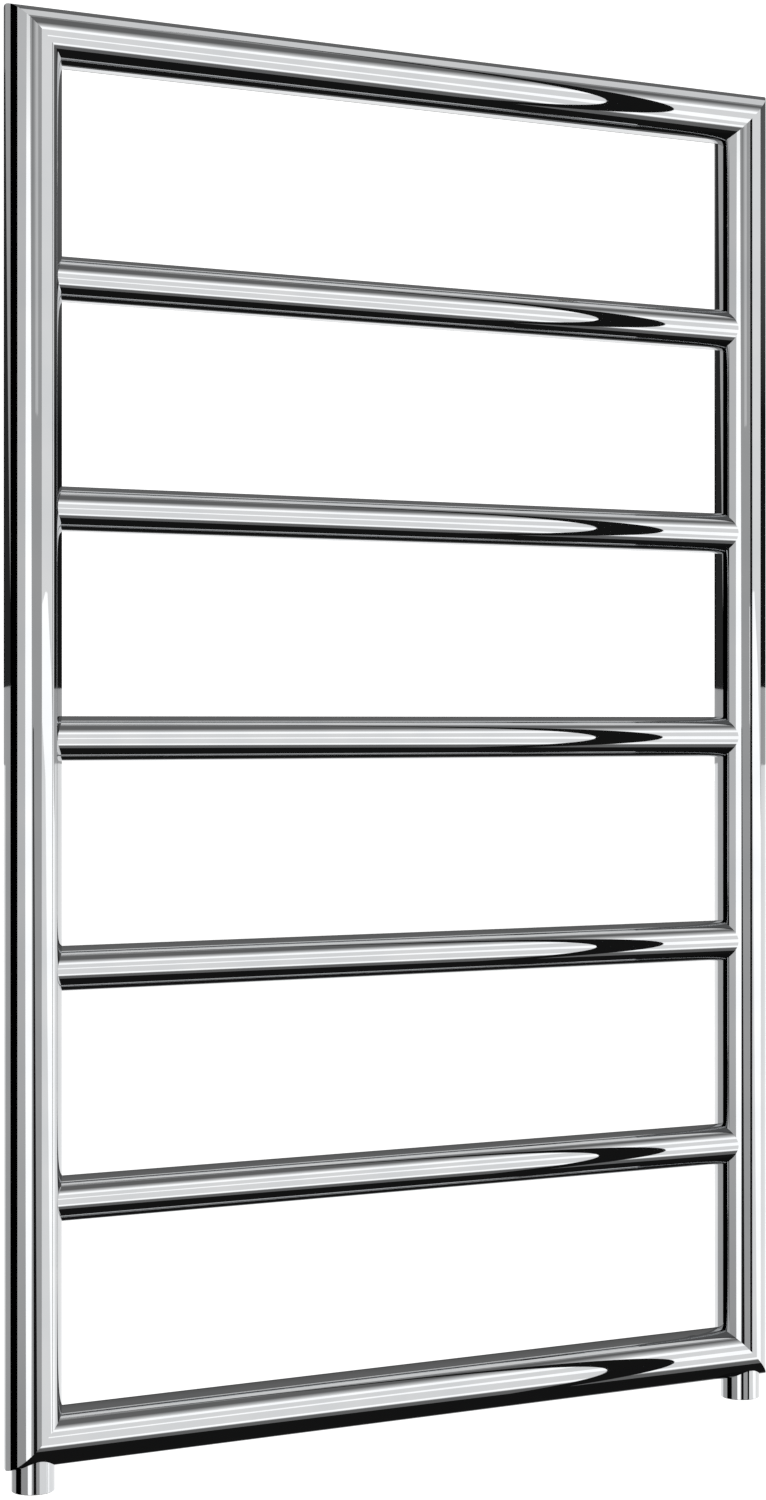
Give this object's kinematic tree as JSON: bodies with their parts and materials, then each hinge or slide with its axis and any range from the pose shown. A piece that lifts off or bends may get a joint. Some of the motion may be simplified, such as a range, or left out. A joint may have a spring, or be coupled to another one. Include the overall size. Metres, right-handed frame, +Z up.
{
  "type": "towel radiator",
  "caption": "Wall-hung water-heated towel radiator: a mitred frame of round chrome tube crossed by thinner rungs, with threaded tails underneath and an air vent behind.",
  "frame": {"origin": "centre of the four wall fixings, on the plane of the bosses' ends", "axes": "+X to the right along the rungs, +Y towards the wall, +Z up"},
  "size_m": [0.5, 0.0509, 0.8125],
  "materials": {
    "chrome_tube": "mirror-polished chrome plate on steel tube",
    "chrome_fitting": "chrome plate on turned steel",
    "plated_brass": "chrome plate on turned brass",
    "bare_brass": "turned brass, unplated",
    "seal_rubber": "moulded black rubber",
    "ring_plastic": "moulded white plastic"
  },
  "bodies": {
    "frame": {"left_stile": "chrome_tube", "right_stile": "chrome_tube", "top_rail": "chrome_tube", "bottom_rail": "chrome_tube", "rung_1": "chrome_tube", "rung_2": "chrome_tube", "rung_3": "chrome_tube", "rung_4": "chrome_tube", "rung_5": "chrome_tube", "left_tail": "chrome_fitting", "right_tail": "chrome_fitting", "bracket_boss_upper_left": "chrome_fitting", "bracket_boss_upper_right": "chrome_fitting", "bracket_boss_lower_left": "chrome_fitting", "bracket_boss_lower_right": "chrome_fitting", "vent_socket": "chrome_fitting", "plug_socket": "chrome_fitting", "vent_body": "plated_brass", "blanking_plug": "plated_brass", "vent_seal": "seal_rubber", "plug_seal": "seal_rubber"},
    "bleed_screw": {"bleed_screw": "bare_brass"},
    "drain_ring": {"drain_ring": "ring_plastic"}
  },
  "joints": [
    {"name": "bleed_screw_turn", "type": "hinge", "parent": "frame", "child": "bleed_screw", "pos_m": [0.18, 0.012, 0.3871], "axis": [0, 1, 0], "range_deg": [0, 270]},
    {"name": "drain_ring_swivel", "type": "hinge", "parent": "frame", "child": "drain_ring", "pos_m": [0.18, 0.008, 0.3871], "axis": [0, 1, 0], "continuous": true}
  ]
}
